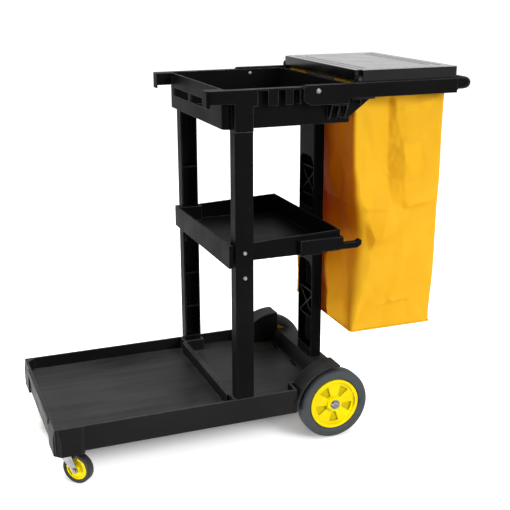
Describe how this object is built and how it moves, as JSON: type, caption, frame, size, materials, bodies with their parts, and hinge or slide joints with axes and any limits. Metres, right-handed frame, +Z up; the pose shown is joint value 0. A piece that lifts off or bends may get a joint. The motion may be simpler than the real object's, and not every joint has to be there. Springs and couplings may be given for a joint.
{
  "type": "janitor cart",
  "caption": "Black plastic janitor cart with a deck, a shelf, a top tray and a yellow bag under a hinged lid, on casters and wheels.",
  "frame": {"origin": "middle of the bounding box at floor level", "axes": "+X from the base front to the handle, +Y to the right side seen from the handle end of the tray towards the front, +Z up"},
  "size_m": [1.099, 0.4942, 0.953],
  "materials": {
    "black_plastic": "moulded, slightly glossy, fine grain",
    "tyre_rubber": "matt grey-black rubber",
    "yellow_plastic": "moulded, satin",
    "bag_cloth": "coated cloth with folds",
    "zinc_steel": "zinc plated"
  },
  "bodies": {
    "cart_frame": {"base_platform": "black_plastic", "left_front_post": "black_plastic", "right_front_post": "black_plastic", "rear_post": "black_plastic", "middle_shelf": "black_plastic", "shelf_tool_hook": "black_plastic", "top_tray": "black_plastic", "rear_axle": "zinc_steel", "axle_washers": "zinc_steel", "axle_caps": "zinc_steel", "caster_screws": "zinc_steel", "base_screws": "zinc_steel", "shelf_screws": "zinc_steel", "rear_post_screws": "zinc_steel", "tray_screws": "zinc_steel", "hook_screws": "zinc_steel", "pivot_bolts": "zinc_steel", "pivot_nuts": "zinc_steel", "left_caster_plate": "zinc_steel", "left_caster_kingpin": "zinc_steel", "right_caster_plate": "zinc_steel", "right_caster_kingpin": "zinc_steel"},
    "bag_frame": {"left_bag_arm": "black_plastic", "right_bag_arm": "black_plastic", "rear_handle": "black_plastic", "handle_screws": "zinc_steel", "bag_front_rod": "zinc_steel", "bag_rear_rod": "zinc_steel", "bag": "bag_cloth", "lid_hinge_pins": "zinc_steel"},
    "lid": {"lid": "black_plastic"},
    "left_wheel": {"left_wheel_hub": "yellow_plastic", "left_wheel_tyre": "tyre_rubber"},
    "left_caster_fork": {"left_caster_fork": "zinc_steel", "left_caster_bolt": "zinc_steel", "left_caster_nut": "zinc_steel"},
    "left_caster_wheel": {"left_caster_hub": "yellow_plastic", "left_caster_tyre": "tyre_rubber"},
    "right_wheel": {"right_wheel_hub": "yellow_plastic", "right_wheel_tyre": "tyre_rubber"},
    "right_caster_fork": {"right_caster_fork": "zinc_steel", "right_caster_bolt": "zinc_steel", "right_caster_nut": "zinc_steel"},
    "right_caster_wheel": {"right_caster_hub": "yellow_plastic", "right_caster_tyre": "tyre_rubber"}
  },
  "joints": [
    {"name": "left_wheel_spin", "type": "hinge", "parent": "cart_frame", "child": "left_wheel", "pos_m": [0.1805, -0.216, 0.094], "axis": [0, 1, 0], "continuous": true},
    {"name": "left_caster_swivel", "type": "hinge", "parent": "cart_frame", "child": "left_caster_fork", "pos_m": [-0.5115, -0.194, 0.09], "axis": [0, 0, 1], "continuous": true},
    {"name": "left_caster_roll", "type": "hinge", "parent": "left_caster_fork", "child": "left_caster_wheel", "pos_m": [-0.4917, -0.2138, 0.0375], "axis": [0.7071, 0.7071, 0], "continuous": true},
    {"name": "right_wheel_spin", "type": "hinge", "parent": "cart_frame", "child": "right_wheel", "pos_m": [0.1805, 0.216, 0.094], "axis": [0, 1, 0], "continuous": true},
    {"name": "right_caster_swivel", "type": "hinge", "parent": "cart_frame", "child": "right_caster_fork", "pos_m": [-0.5115, 0.194, 0.09], "axis": [0, 0, 1], "continuous": true},
    {"name": "right_caster_roll", "type": "hinge", "parent": "right_caster_fork", "child": "right_caster_wheel", "pos_m": [-0.4917, 0.1742, 0.0375], "axis": [0.7071, 0.7071, 0], "continuous": true},
    {"name": "bag_frame_fold", "type": "hinge", "parent": "cart_frame", "child": "bag_frame", "pos_m": [0.1165, 0, 0.91], "axis": [0, -1, 0], "range_deg": [0, 90]},
    {"name": "lid_hinge", "type": "hinge", "parent": "bag_frame", "child": "lid", "pos_m": [0.2305, 0, 0.931], "axis": [0, -1, 0], "range_deg": [0, 95]}
  ]
}
